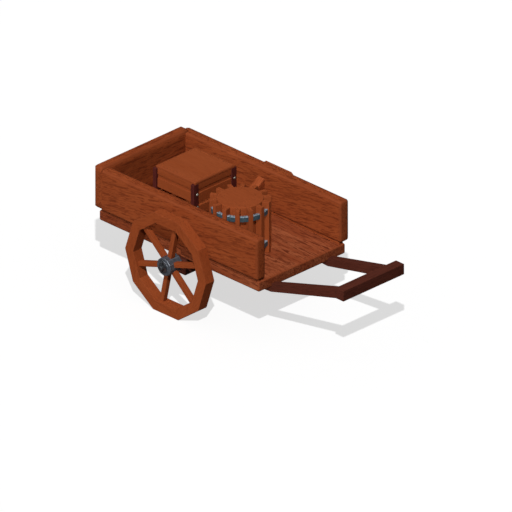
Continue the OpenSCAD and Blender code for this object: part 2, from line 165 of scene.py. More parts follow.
TONES = Pattern((2.2, 13.0, 13.0), 2.0, 0.32, 0.70, 0.4)
PORES = Pattern((45.0, 900.0, 900.0), 1.0, 0.58, 0.72)
# Patches in which rounded timber edges take their painted shade.
EDGE_SHADE_PATCHES = Pattern((9.0, 40.0, 40.0), 3.0, 0.15, 0.45)
FIRE_SCALE = Pattern((70.0, 70.0, 70.0), 4.0, 0.35, 0.66, 0.3)
RUST_PATCHES = Pattern((38.0, 38.0, 38.0), 5.0, 0.58, 0.74, 0.6)
# Patches in which metal edges show wear and picked-out faces take a painted highlight.
SCUFF_AND_SHEEN_PATCHES = Pattern((160.0, 160.0, 160.0), 2.0, 0.30, 0.60)
FIBRES: Point = (60.0, 1300.0, 1300.0)
PITS: Point = (420.0, 420.0, 420.0)


class Nodes:
    """Sketches a material's node tree, one node at a time."""

    def __init__(self, name: str) -> None:
        """Starts an empty tree with its shader and output.

        Args:
            name: The material's name.
        """
        self.material = bpy.data.materials.new(name)
        self.material.use_nodes = True
        self.tree = self.material.node_tree
        self.tree.nodes.clear()
        self.shader = self.tree.nodes.new("ShaderNodeBsdfPrincipled")
        output = self.tree.nodes.new("ShaderNodeOutputMaterial")
        self.tree.links.new(self.shader.outputs["BSDF"], output.inputs["Surface"])

    def fill(self, socket: bpy.types.NodeSocket, value: object) -> None:
        """Links a socket to an output, or sets it to a plain value."""
        if isinstance(value, bpy.types.NodeSocket):
            self.tree.links.new(value, socket)
        else:
            socket.default_value = value

    def set(self, node: bpy.types.Node, **inputs: object) -> None:
        """Fills a node's sockets.

        Args:
            node: The node to fill.
            **inputs: Socket names, with _ for a space, and a value or an output to link.
        """
        for key, value in inputs.items():
            self.fill(node.inputs[key.replace("_", " ")], value)

    def add(self, kind: str, **inputs: object) -> bpy.types.Node:
        """Adds a node and fills its sockets.

        Args:
            kind: The node's type, without the ShaderNode in front.
            **inputs: As for set.

        Returns:
            The new node.
        """
        node = self.tree.nodes.new("ShaderNode" + kind)
        self.set(node, **inputs)
        return node

    def attribute(self, name: str, output: str) -> bpy.types.NodeSocket:
        """Returns an attribute of the piece: its grain's coordinates or its mask of painted light
        and wear, 0 to 1.
        """
        node = self.add("Attribute")
        node.attribute_name = name
        return node.outputs[output]

    def noise(self, vector: bpy.types.NodeSocket, scale: Point, detail: float = 3.0,
              distortion: float = 0.0) -> bpy.types.NodeSocket:
        """Makes cloudy noise.

        Args:
            vector: The coordinates to read.
            scale: Clouds per metre along each axis.
            detail: Octaves of finer noise.
            distortion: How far the clouds are pulled about.

        Returns:
            The noise, 0 to 1.
        """
        stretched = self.add("Mapping", Vector=vector, Scale=scale).outputs["Vector"]
        node = self.add("TexNoise", Vector=stretched, Scale=1.0, Detail=detail,
                        Distortion=distortion)
        return node.outputs["Fac"]

    def draw(self, pattern: Pattern, vector: bpy.types.NodeSocket) -> bpy.types.NodeSocket:
        """Draws a pattern's spots, 0 to 1, on some coordinates."""
        clouds = self.noise(vector, pattern.scale, pattern.detail, pattern.distortion)
        node = self.add("MapRange", Value=clouds, From_Min=pattern.low, From_Max=pattern.high)
        node.interpolation_type = "SMOOTHSTEP"
        return node.outputs["Result"]

    def times(self, a: object, b: object) -> bpy.types.NodeSocket:
        """Multiplies two values."""
        return self.join("MULTIPLY", a, b)

    def join(self, operation: str, a: object, b: object) -> bpy.types.NodeSocket:
        """Joins two values by a Math operation."""
        node = self.tree.nodes.new("ShaderNodeMath")
        node.operation = operation
        for socket, value in zip(node.inputs, (a, b)):
            self.fill(socket, value)
        return node.outputs[0]

    def blend(self, share: object, first: object, second: object) -> bpy.types.NodeSocket:
        """Mixes two colours.

        Args:
            share: How much of the second colour there is, 0 to 1.
            first: The colour at 0.
            second: The colour at 1.

        Returns:
            The mixed colour.
        """
        node = self.tree.nodes.new("ShaderNodeMix")
        node.data_type = "RGBA"
        by_name = {"Factor": share, "A": first, "B": second}
        for socket in node.inputs:
            if socket.enabled:
                self.fill(socket, by_name[socket.name])
        return next(socket for socket in node.outputs if socket.enabled)


@dataclass(frozen=True)
class WoodFinish:
    """Sawn timber, with growth lines and pores along its grain, and patchy painted shade on its
    rounded edges.
    """

    slot: str
    base: Colour
    pale: Colour
    streak: Colour
    edge_shade_and_wear: Colour
    lines: float = 0.6
    line_width: float = 7 * MM
    roughness: float = 0.72
    relief: float = 0.35
    gloss: float = 0.08

    def figure(self, nodes: Nodes, along: bpy.types.NodeSocket) -> bpy.types.NodeSocket:
        """Draws the growth lines, with paler swirls between them."""
        pitch = 1 / self.line_width
        lines = Pattern((pitch / 10, pitch, pitch), 2.0, 0.48, 0.64, 1.2)
        swirls = Pattern((pitch / 26, pitch / 2.2, pitch / 2.2), 3.0, 0.54, 0.66, 2.2)
        return nodes.join("MAXIMUM", nodes.draw(lines, along),
                          nodes.times(nodes.draw(swirls, along), 0.55))

    def build(self) -> bpy.types.Material:
        """Builds the finish's material."""
        nodes = Nodes(self.slot)
        along = nodes.attribute(GRAIN, "Vector")
        colour = nodes.blend(nodes.draw(TONES, along), self.base, self.pale)
        figure = self.figure(nodes, along)
        colour = nodes.blend(nodes.times(figure, self.lines), colour, self.streak)
        pores = nodes.draw(PORES, along)
        colour = nodes.blend(nodes.times(pores, 0.25), colour, self.streak)
        # Painted shade: the rounded edges are darkened in patches to tone down the highlight that
        # they catch.
        edge = nodes.times(nodes.attribute(PAINTED_LIGHT_AND_WEAR, "Fac"), nodes.draw(EDGE_SHADE_PATCHES, along))
        colour = nodes.blend(nodes.times(edge, 0.75), colour, self.edge_shade_and_wear)
        rough = nodes.join("ADD", nodes.times(figure, 0.12), self.roughness)
        fibres = nodes.noise(along, FIBRES, 2.0)
        height = nodes.join("SUBTRACT", nodes.times(fibres, 0.35), nodes.times(figure, 0.65))
        height = nodes.join("SUBTRACT", height, nodes.times(pores, 0.5))
        bump = nodes.add("Bump", Strength=self.relief, Distance=0.8 * MM, Height=height)
        nodes.set(nodes.shader, Base_Color=colour, Roughness=rough, Normal=bump.outputs["Normal"],
                  Specular_IOR_Level=self.gloss)
        return nodes.material


@dataclass(frozen=True)
class MetalFinish:
    """Forged or cast metal, mottled by scale and a little rust, bright where it rubs and with a
    painted highlight on faces picked out for it.
    """

    slot: str
    base: Colour
    dark: Colour
    bright: Colour
    rust: Colour = linear(84, 46, 28)
    rusting: float = 0.35
    metallic: float = 0.5
    roughness: float = 0.5
    relief: float = 0.3

    def build(self) -> bpy.types.Material:
        """Builds the finish's material."""
        nodes = Nodes(self.slot)
        place = nodes.add("TexCoord").outputs["Object"]
        scale = nodes.draw(FIRE_SCALE, place)
        colour = nodes.blend(scale, self.base, self.dark)
        patches = nodes.draw(RUST_PATCHES, place)
        colour = nodes.blend(nodes.times(patches, self.rusting), colour, self.rust)
        # Wear on rounded edges, and a painted highlight on faces picked out, as on the hoops' upper
        # faces.
        scuffs_and_sheen = nodes.times(nodes.attribute(PAINTED_LIGHT_AND_WEAR, "Fac"), nodes.draw(SCUFF_AND_SHEEN_PATCHES, place))
        colour = nodes.blend(scuffs_and_sheen, colour, self.bright)
        rough = nodes.join("ADD", nodes.times(patches, 0.25), self.roughness)
        pits = nodes.noise(place, PITS, 3.0)
        height = nodes.join("ADD", nodes.times(pits, 0.6), nodes.times(scale, 0.4))
        bump = nodes.add("Bump", Strength=self.relief, Distance=0.5 * MM, Height=height)
        nodes.set(nodes.shader, Base_Color=colour, Roughness=rough, Metallic=self.metallic,
                  Normal=bump.outputs["Normal"])
        return nodes.material


Finish = Union[WoodFinish, MetalFinish]

# Painted shade: this colour and each timber finish's own edge colour are darker than the timber, to
# tone down the highlight on rounded edges.
PAINTED_EDGE_SHADE = linear(118, 55, 27)
BOARD = WoodFinish("board_wood", base=linear(131, 60, 28), pale=linear(138, 66, 32),
                   streak=linear(96, 38, 14), edge_shade_and_wear=PAINTED_EDGE_SHADE, lines=0.85, line_width=9 * MM)
FLOOR = WoodFinish("floor_wood", base=linear(122, 56, 29), pale=linear(143, 76, 46),
                   streak=linear(88, 35, 16), edge_shade_and_wear=linear(118, 55, 28), lines=1.0,
                   line_width=9 * MM)
WHEEL = WoodFinish("wheel_wood", base=linear(132, 61, 28), pale=linear(137, 65, 31),
                   streak=linear(108, 46, 19), edge_shade_and_wear=PAINTED_EDGE_SHADE, lines=0.5)
DARK = WoodFinish("dark_wood", base=linear(75, 34, 24), pale=linear(81, 38, 27),
                  streak=linear(50, 21, 13), edge_shade_and_wear=linear(72, 34, 24), lines=0.5, roughness=0.62)
CRATE = WoodFinish("crate_wood", base=linear(132, 62, 29), pale=linear(136, 66, 33),
                   streak=linear(116, 52, 23), edge_shade_and_wear=PAINTED_EDGE_SHADE, lines=0.35)
POST = WoodFinish("post_wood", base=linear(76, 29, 25), pale=linear(82, 33, 28),
                  streak=linear(48, 16, 15), edge_shade_and_wear=linear(72, 29, 26), lines=0.5, roughness=0.6)
BARREL = WoodFinish("barrel_wood", base=linear(132, 62, 29), pale=linear(136, 65, 32),
                    streak=linear(114, 50, 22), edge_shade_and_wear=PAINTED_EDGE_SHADE, lines=0.3)
PROP = WoodFinish("prop_wood", base=linear(132, 62, 29), pale=linear(141, 69, 36),
                  streak=linear(104, 44, 20), edge_shade_and_wear=PAINTED_EDGE_SHADE, lines=0.6, relief=0.5)
BLACK_IRON = MetalFinish("black_iron", base=linear(62, 64, 68), dark=linear(44, 45, 49),
                         bright=linear(128, 130, 134), rusting=0.5)
HUB_IRON = MetalFinish("hub_iron", base=linear(88, 92, 100), dark=linear(72, 76, 84),
                       bright=linear(128, 134, 142), rusting=0.12)
BUSH_BRASS = MetalFinish("bush_brass", base=linear(142, 116, 66), dark=linear(110, 86, 46),
                         bright=linear(190, 164, 104), rusting=0.2, metallic=0.8)
HOOP_IRON = MetalFinish("hoop_iron", base=linear(78, 98, 108), dark=linear(62, 80, 90),
                        bright=linear(158, 172, 184), rusting=0.15)
NAIL_IRON = MetalFinish("nail_iron", base=linear(168, 168, 156), dark=linear(122, 122, 112),
                        bright=linear(200, 200, 190), rusting=0.15)


@functools.cache
def material_of(finish: Finish) -> bpy.types.Material:
    """Returns a finish's material, which is built once."""
    return finish.build()


# --- Shaping


@dataclass(frozen=True)
class Tooling:
    """How a timber is worked: rounded edges, steps round them, hollows' depth and spacing."""

    edge: float
    rounds: int
    depth: float
    spacing: float


class Shape:
    """A piece being shaped: outlined, sliced, eased at its edges and hewn."""

    def __init__(self, name: str) -> None:
        """Starts an empty piece.

        Args:
            name: The piece's name.
        """
        self.name = name
        self.bm = bmesh.new()
        self.painted_light_and_wear = self.bm.loops.layers.float.new(PAINTED_LIGHT_AND_WEAR)
        self.grain = self.bm.verts.layers.float_vector.new(GRAIN)

    @classmethod
    def block(cls, name: str, low: Point, high: Point) -> Shape:
        """Cuts a rectangular block between two corners."""
        shape = cls(name)
        low, high = Vector(low), Vector(high)
        matrix = Matrix.Translation((low + high) / 2) @ Matrix.Diagonal((*(high - low), 1))
        bmesh.ops.create_cube(shape.bm, size=1, matrix=matrix)
        return shape

    @classmethod
    def outline(cls, name: str, points: Iterable[Point], push: Point) -> Shape:
        """Saws a flat outline out of a board.

        Args:
            name: The piece's name.
            points: The outline's corners in order.
            push: The board's thickness as a vector from the outline's plane.

        Returns:
            The sawn piece.
        """
        shape = cls(name)
        face = shape.bm.faces.new([shape.bm.verts.new(point) for point in points])
        pushed = bmesh.ops.extrude_face_region(shape.bm, geom=[face])["geom"]
        corners = [part for part in pushed if isinstance(part, bmesh.types.BMVert)]
        bmesh.ops.translate(shape.bm, vec=Vector(push), verts=corners)
        shape.outward()
        return shape

    @classmethod
    def turned(cls, name: str, profile: Iterable[tuple[float, float]], place: Point,
               axis: Axis, steps: int = 48, phase: float = 0.0) -> Shape:
        """Turns a closed profile about an axis.

        Args:
            name: The piece's name.
            profile: Pairs of radius and height along the axis; a radius of 0 lies on the axis.
            place: The point on the axis from which heights are measured.
            axis: The axis to turn about.
            steps: Flats round the piece.
            phase: Angle of the first profile, in radians.

        Returns:
            The turned piece.
        """
        shape = cls(name)
        points = list(profile)
        verts = [shape.bm.verts.new((radius, 0, height)) for radius, height in points]
        pairs = zip(verts, verts[1:] + verts[:1])
        edges = [shape.bm.edges.new(pair) for pair in pairs
                 if pair[0].co.x > 0 or pair[1].co.x > 0]
        bmesh.ops.spin(shape.bm, geom=verts + edges, cent=(0, 0, 0), axis=(0, 0, 1),
                       angle=math.tau, steps=steps, use_merge=True)
        bmesh.ops.remove_doubles(shape.bm, verts=shape.bm.verts[:], dist=MERGE)
        shape.outward()
        stand = {Axis.X: Matrix.Rotation(math.pi / 2, 4, "Y"),
                 Axis.Y: Matrix.Rotation(-math.pi / 2, 4, "X"),
                 Axis.Z: Matrix.Identity(4)}[axis]
        matrix = Matrix.Translation(place) @ stand @ Matrix.Rotation(phase, 4, "Z")
        bmesh.ops.transform(shape.bm, matrix=matrix, verts=shape.bm.verts[:])
        return shape

    def outward(self) -> Shape:
        """Points every face outwards."""
        bmesh.ops.recalc_face_normals(self.bm, faces=self.bm.faces[:])
        return self

    def cut(self, point: Point, normal: Point, trim: bool = False) -> list[bmesh.types.BMEdge]:
        """Cuts along a plane through the whole piece.

        Args:
            point: A point of the plane.
            normal: The direction that the plane faces.
            trim: Whether what lies beyond the plane is taken off.

        Returns:
            The edges that lie in the plane.
        """
        parts = self.bm.verts[:] + self.bm.edges[:] + self.bm.faces[:]
        made = bmesh.ops.bisect_plane(self.bm, geom=parts, plane_co=point, plane_no=normal,
                                      clear_outer=trim)
        return [part for part in made["geom_cut"] if isinstance(part, bmesh.types.BMEdge)]

    def slice(self, axis: Axis, step: float) -> Shape:
        """Cuts loops across the piece, evenly and about a step apart, along an axis."""
        places = [v.co[axis.value] for v in self.bm.verts]
        low, high = min(places), max(places)
        count = max(1, round((high - low) / step))
        for i in range(1, count):
            self.cut(axis.unit * (low + (high - low) * i / count), axis.unit)
        return self

    def ease(self, width: float, segments: int = 3,
             where: Callable[[Vector, Vector], bool] = lambda a, b: True,
             edge_shade_and_wear: float = 1.0) -> Shape:
        """Rounds sharp edges and marks them for painted edge shade and wear.

        Args:
            width: How far the rounding reaches from the edge.
            segments: Steps across the rounding.
            where: Says from its two ends whether an edge is rounded.
            edge_shade_and_wear: How strongly the rounding is marked for painted shade and wear, 0
                to 1.

        Returns:
            The piece itself.
        """
        edges = [edge for edge in self.bm.edges
                 if edge.is_manifold and edge.calc_face_angle() > SHARP_EDGE
                 and where(edge.verts[0].co, edge.verts[1].co)]
        made = bmesh.ops.bevel(self.bm, geom=edges, offset=width, offset_type="OFFSET",
                               segments=segments, profile=0.5, affect="EDGES", material=-1,
                               clamp_overlap=True)
        for face in made["faces"]:
            for loop in face.loops:
                loop[self.painted_light_and_wear] = edge_shade_and_wear
        return self

    def paint_highlight_on(self, where: Callable[[bmesh.types.BMFace], bool]) -> Shape:
        """Paints a highlight on the faces that a test picks out."""
        for face in self.bm.faces:
            if where(face):
                for loop in face.loops:
                    loop[self.painted_light_and_wear] = 1.0
        return self

    def hew(self, depth: float, length: float, seed: float = 0.0) -> Shape:
        """Wears hollows into the surface, never outwards.

        Args:
            depth: Depth of the deepest hollow.
            length: Distance from one hollow to the next.
            seed: Picks another pattern of hollows.

        Returns:
            The piece itself.
        """
        self.bm.normal_update()
        shift = Vector((seed * 3.1, seed * 1.7, seed * 2.3))
        dents = [0.5 + 0.5 * noise.noise(v.co / length + shift) for v in self.bm.verts]
        for vert, dent in zip(self.bm.verts, dents):
            vert.co -= vert.normal * depth * dent
        return self

    def work(self, tooling: Tooling, seed: float = 0.0) -> Shape:
        """Rounds every edge and wears the surface, as a timber's tooling says."""
        return self.ease(tooling.edge, tooling.rounds).hew(tooling.depth, tooling.spacing, seed)

    def move(self, matrix: Matrix) -> Shape:
        """Moves, turns or shears the piece."""
        bmesh.ops.transform(self.bm, matrix=matrix, verts=self.bm.verts[:])
        return self

    def lay(self, along: Point, face: Point = (0, 0, 1), seed: float = 0.0) -> Shape:
        """Lays the grain.

        Args:
            along: The direction of the fibres.
            face: The direction that the board's broad face looks.
            seed: Picks another stretch of timber.

        Returns:
            The piece itself.
        """
        fibre = Vector(along).normalized()
        width = Vector(face).cross(fibre).normalized()
        turn = Matrix((fibre, width, fibre.cross(width)))
        shift = Vector((seed * 0.73, seed * 0.41, seed * 0.29))
        for vert in self.bm.verts:
            vert[self.grain] = turn @ vert.co + shift
        return self

    def place(self, finish: Finish, body: str, *nodes: str,
              crisp: float = 50.0) -> bpy.types.Object:
        """Finishes the piece and sets it on the cart.

        Args:
            finish: What it is made of.
            body: The body of the frame that it moves with.
            *nodes: The nodes of the frame that it stands for.
            crisp: Edges that turn by more than this angle, in degrees, are not smoothed over.

        Returns:
            The piece as an object.
        """
        mesh = bpy.data.meshes.new(self.name)
        self.bm.to_mesh(mesh)
        self.bm.free()
        mesh.materials.append(material_of(finish))
        mesh.polygons.foreach_set("use_smooth", [True] * len(mesh.polygons))
        mesh.set_sharp_from_angle(angle=math.radians(crisp))
        piece = bpy.data.objects.new(self.name, mesh)
        bpy.context.scene.collection.objects.link(piece)
        level = piece.modifiers.new("level", "WEIGHTED_NORMAL")
        level.keep_sharp = True
        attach(piece, body)
        if nodes:
            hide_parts(*nodes)
        log.info("%s: %d faces on %s", self.name, len(mesh.polygons), body)
        return piece


def keep(finish: Finish, *nodes: str) -> None:
    """Keeps nodes of the frame as they are and gives them a finish."""
    for node in nodes:
        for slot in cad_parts[node].material_slots:
            slot.material = material_of(finish)
        log.info("%s: kept from the frame", node)


# --- The cart


@dataclass
class Bed:
    """The floor, the side boards and the tailboard, which stand on narrow feet."""

    floor_edge: float = 10 * MM
    board_edge: float = 14 * MM
    seam: float = 0.4 * MM
    step: float = 50 * MM
    cross_step: float = 45 * MM
    hollow: float = 0.7 * MM
    side_foot: float = 14.5 * MM
    tail_foot: float = 18 * MM
    foot_inset: float = 8 * MM
    drift: Point = (1.0, 0.0, 0.15)

    def build(self) -> None:
        """Builds the whole bed."""
        for i in range(1, 6):
            self.plank(i)
        for side in SIDES:
            self.side_board(side)
        self.tailboard()
        keep(BLACK_IRON, "side_spikes", "tailboard_nails", "floor_nails")

    def plank(self, number: int) -> None:
        """Builds a floor plank, rounded where it is an outer edge of the floor."""
        node = f"floor_plank_{number}"
        low, high = box(node)
        outer = {1: low.y, 5: high.y}.get(number)

        def is_outer(a: Vector, b: Vector) -> bool:
            """Says whether an edge lies round the outside of the floor."""
            across = abs(a.x - b.x) < MM and abs(a.z - b.z) < MM
            return across or is_long_side(a, b)

        def is_long_side(a: Vector, b: Vector) -> bool:
            """Says whether an edge lies along the floor's outer side."""
            return outer is not None and abs(a.y - outer) < MM and abs(b.y - outer) < MM

        shape = Shape.block(node, low, high)
        shape.slice(Axis.X, self.step).slice(Axis.Y, self.cross_step)
        shape.ease(self.floor_edge, 3, is_outer)
        shape.ease(self.seam, 1, edge_shade_and_wear=0)
        shape.hew(self.hollow, 0.11, number).lay((1, 0, 0), seed=number)
        shape.place(FLOOR, "cart", node)

    def side_board(self, side: str) -> None:
        """Builds a side board, shaped at its rear end to meet the tailboard."""
        node = f"side_board_{side}"
        low, high = box(node)
        tail_low, tail_high = box("tailboard")
        sign = SIDES[side]
        inner, outer = sorted((abs(low.y), abs(high.y)))
        face = tail_high.x
        meets = tail_high.y if sign > 0 else -tail_low.y
        plan = [(face, meets), (face, inner), (high.x, inner), (high.x, outer)]
        if sign > 0:
            plan += [(low.x, outer), (low.x, meets)]
        foot = low.z + self.side_foot
        points = [(x, sign * y, foot) for x, y in plan]

        def is_free(a: Vector, b: Vector) -> bool:
            """Says whether an edge is clear of the tailboard."""
            return not all(p.x < face + MM and abs(p.y) < meets + MM for p in (a, b))

        shape = Shape.outline(node, points, (0, 0, high.z - foot))
        shape.slice(Axis.X, self.step).slice(Axis.Z, self.cross_step)
        shape.ease(self.board_edge, 2, is_free)
        shape.hew(self.hollow, 0.13, 10 + sign).lay(self.drift, (0, 1, 0), 7 + sign)
        shape.place(BOARD, "cart", node)
        floor_high = floor_box()[1]
        near, far = inner + self.foot_inset, floor_high.y - self.floor_edge
        ends = face + self.foot_inset, floor_high.x - self.floor_edge
        ledge = Shape.block(f"{node}_foot", (ends[0], min(sign * near, sign * far), low.z),
                            (ends[1], max(sign * near, sign * far), foot + MM))
        ledge.ease(MM, 1).lay((1, 0, 0), (0, 1, 0), 9 + sign).place(BOARD, "cart", node)

    def tailboard(self) -> None:
        """Builds the tailboard, left square where it closes up with the right board."""
        low, high = box("tailboard")
        foot = low.z + self.tail_foot

        def is_free(a: Vector, b: Vector) -> bool:
            """Says whether an edge is clear of the right board."""
            return not all(p.x > high.x - MM and p.y < low.y + MM for p in (a, b))

        shape = Shape.block("tailboard", (low.x, low.y, foot), high)
        shape.slice(Axis.Y, self.step).slice(Axis.Z, self.cross_step)
        shape.ease(self.board_edge, 1, is_free).hew(self.hollow, 0.12, 4)
        shape.lay((0, 1, 0), (1, 0, 0), 11).place(BOARD, "cart", "tailboard")
        floor_low = floor_box()[0]
        left = box("side_board_left")[0].y + self.foot_inset
        ledge = Shape.block("tailboard_foot",
                            (floor_low.x + self.floor_edge, floor_low.y + self.floor_edge, low.z),
                            (high.x - self.foot_inset, left, foot + MM))
        ledge.ease(MM, 1).lay((0, 1, 0), (1, 0, 0), 12).place(BOARD, "cart", "tailboard")


@dataclass
class Undercarriage:
    """The axle beam, the bolster and the batten under the floor, and the axle rod."""

    tooling: Tooling = Tooling(6 * MM, 3, 0.8 * MM, 0.09)
    rod_chamfer: float = 3 * MM
    washer_chamfer: float = 1 * MM
    wire: float = 2.5 * MM

    def build(self) -> None:
        """Builds everything that holds the bed up."""
        for i, node in enumerate(("axle_beam", "front_bolster", "rear_batten")):
            self.bearer(node, 20 + i)
        self.rod()
        for side in SIDES:
            for node in ("inner_washer", "outer_washer"):
                self.washer(f"{node}_{side}")
            self.linchpin(side)
        keep(BLACK_IRON, "beam_bolts", "arm_bolts")

    def bearer(self, node: str, seed: int) -> None:
        """Builds a beam that runs across under the floor."""
        low, high = box(node)
        shape = Shape.block(node, low, high)
        shape.slice(Axis.Y, 40 * MM).slice(Axis.X, 35 * MM)
        shape.work(self.tooling, seed)
        shape.lay((0, 1, 0), seed=seed).place(DARK, "cart", node)

    def rod(self) -> None:
        """Builds the axle rod, with chamfered ends and its two pin holes left to the pins."""
        middle, radius, end = centre("axle"), half("axle"), box("axle")[1].y
        profile = collar(0, radius, -end, end, self.rod_chamfer)
        shape = Shape.turned("axle", profile, (*middle.xz, 0), Axis.Y)
        shape.move(Matrix.Translation(middle - Vector((middle.x, middle.z, 0))))
        shape.place(BLACK_IRON, "cart", "axle")

    def washer(self, node: str) -> None:
        """Builds a washer, eased on both faces."""
        outer, inner, end = half(node), half("axle"), half(node, Axis.Y)
        profile = collar(inner, outer, -end, end, self.washer_chamfer)
        shape = Shape.turned(node, profile, centre(node), Axis.Y)
        shape.place(BLACK_IRON, "cart", node)

    def linchpin(self, side: str) -> None:
        """Builds a linchpin: a tapered pin with an eye at its top."""
        node = f"linchpin_{side}"
        low, high = box(node)
        middle = centre(node)
        radius = half(node, Axis.Y)
        wire = self.wire
        eye = half(node) - wire
        top = high.z - 2 * eye - 3 * MM
        profile = [(0, low.z), (radius * 0.6, low.z), (radius, low.z + 6 * MM), (radius, top),
                   (radius * 0.7, top + 2 * MM), (0, top + 2 * MM)]
        shape = Shape.turned(node, profile, (middle.x, middle.y, 0), Axis.Z, 24)
        shape.place(BLACK_IRON, "cart", node)
        ring = [(eye + wire * math.cos(a), wire * math.sin(a))
                for a in (i * math.tau / 12 for i in range(12))]
        hoop = Shape.turned(f"linchpin_eye_{side}", ring,
                            (middle.x, middle.y, high.z - eye - wire), Axis.Y, 32)
        hoop.place(BLACK_IRON, "cart")


@dataclass
class Wheel:
    """A spoked wheel: five felloes of two flats each, six spokes, an iron hub and its bush."""

    side: str
    sides: int = 10
    felloes: int = 5
    spokes: int = 6
    phase: float = math.radians(18)
    depth: float = 60 * MM
    spoke: float = 30 * MM
    hub_sides: int = 12
    joint: float = -1.6 * MM
    slices: int = 6
    felloe_edge: float = 3 * MM
    seam: float = 0.4 * MM
    hollow: float = 0.7 * MM
    spoke_sink: float = 4 * MM
    spoke_tooling: Tooling = Tooling(3.5 * MM, 2, 0.5 * MM, 0.06)
    bush_play: float = 0.3 * MM
    bush_chamfer: float = 1 * MM

    def __post_init__(self) -> None:
        """Reads the wheel's place and size from the frame."""
        low, high = box(f"rim_{self.side}")
        self.body = f"wheel_{self.side}"
        self.centre = (low + high) / 2
        self.radius = half(f"rim_{self.side}")
        self.width = high.y - low.y
        self.apothem = self.radius * math.cos(math.pi / self.sides)
        self.inner = self.apothem - self.depth
        self.inner_radius = self.inner / math.cos(math.pi / self.sides)
        self.hub_radius = half(f"hub_{self.side}")
        self.hub_apothem = self.hub_radius * math.cos(math.pi / self.hub_sides)

    def build(self) -> None:
        """Builds the wheel."""
        for number in range(self.felloes):
            self.felloe(number)
        for number in range(self.spokes):
            self.spoke_at(number)
        self.hub()
        self.bush()

    def at(self, radius: float, angle: float, offset: float = 0.0) -> Vector:
        """Finds a point of the wheel.

        Args:
            radius: Its distance from the axle.
            angle: Its angle from forwards, upwards, in radians.
            offset: Its distance outwards along the axle from the wheel's middle plane.

        Returns:
            The point.
        """
        out = Vector((math.cos(angle), 0, math.sin(angle))) * radius
        return self.centre + out + Vector((0, offset * SIDES[self.side], 0))

    def felloe(self, number: int) -> None:
        """Builds a felloe, sawn from one plank to two of the rim's flats."""
        turn = math.tau / self.sides
        start = number * math.tau / self.felloes
        ends = (self.joint / 2 / self.radius, 2 * turn - self.joint / 2 / self.radius)
        angles = [start + ends[0], start + turn, start + ends[1]]
        outer = [self.at(self.radius, a, -self.width / 2) for a in angles]
        inner = [self.at(self.inner_radius, a, -self.width / 2) for a in reversed(angles)]
        push = (0, self.width * SIDES[self.side], 0)
        shape = Shape.outline(f"felloe_{self.side}_{number + 1}", outer + inner, push)

        def is_joint(a: Vector, b: Vector) -> bool:
            """Says whether an edge lies on one of the felloe's two end faces."""
            rays = [self.at(1, angle) - self.centre for angle in (angles[0], angles[2])]
            return any(all((p - self.centre).cross(ray).length < MM for p in
                           (Vector((a.x, self.centre.y, a.z)), Vector((b.x, self.centre.y, b.z))))
                       for ray in rays)

        for k in range(1, self.slices):
            for angle in angles[:2]:
                ray = self.at(1, angle + turn * k / self.slices) - self.centre
                shape.cut(self.centre, ray.cross(Axis.Y.unit))
        shape.ease(self.felloe_edge, 2, lambda a, b: not is_joint(a, b))
        shape.ease(self.seam, 1, edge_shade_and_wear=0)
        shape.hew(self.hollow, 0.08, number + 3 * SIDES[self.side])
        tangent = self.at(1, angles[1] + math.pi / 2) - self.centre
        shape.lay(tangent, (0, 1, 0), 30 + number + 6 * SIDES[self.side])
        shape.place(WHEEL, self.body, f"rim_{self.side}")

    def spoke_at(self, number: int) -> None:
        """Builds a spoke, square, with eased edges, from the hub's flat into the rim."""
        angle = self.phase + number * math.tau / self.spokes
        sink = self.spoke_sink
        thick = self.spoke / 2
        flat = (angle - self.phase) % (math.tau / self.sides)
        off = min(flat, math.tau / self.sides - flat)
        reach = self.inner / math.cos(off) + sink
        shape = Shape.block(f"spoke_{self.side}_{number + 1}",
                            (self.hub_apothem - sink, -thick, -thick), (reach, thick, thick))
        shape.slice(Axis.X, 30 * MM).work(self.spoke_tooling, number)
        shape.move(Matrix.Translation(self.centre) @ Matrix.Rotation(-angle, 4, "Y"))
        shape.lay(self.at(1, angle) - self.centre, (0, 1, 0), 50 + number)
        shape.place(WHEEL, self.body, f"spoke_{self.side}_{number + 1}")

    def hub(self) -> None:
        """Builds the hub, twelve-sided, with a stepped face at each end."""
        node = f"hub_{self.side}"
        bore, rim, end = half(f"bush_{self.side}"), self.hub_radius, half(node, Axis.Y)
        cut, lip, step = 3.5 * MM, 9 * MM, 2.5 * MM
        quarter = [(bore, end), (bore + lip, end), (bore + lip + step, end - step),
                   (rim - cut - step, end - step), (rim - cut, end - step),
                   (rim, end - step - cut)]
        profile = quarter + [(radius, -height) for radius, height in reversed(quarter)]
        phase = self.phase - math.pi / self.hub_sides
        shape = Shape.turned(node, profile, centre(node), Axis.Y, self.hub_sides, phase)
        shape.ease(1.2 * MM, 2, lambda a, b: abs(a.y - b.y) > 30 * MM)
        shape.place(HUB_IRON, self.body, node, crisp=15.0)

    def bush(self) -> None:
        """Builds the bush, a plain tube that clears the axle."""
        node = f"bush_{self.side}"
        outer, end = half(node), half(node, Axis.Y)
        inner = half("axle") + self.bush_play
        cut = self.bush_chamfer
        profile = [(inner + cut, -end), (outer, -end), (outer, end), (inner + cut, end),
                   (inner, end - cut), (inner, cut - end)]
        shape = Shape.turned(node, profile, centre(node), Axis.Y)
        shape.place(BUSH_BRASS, self.body, node)


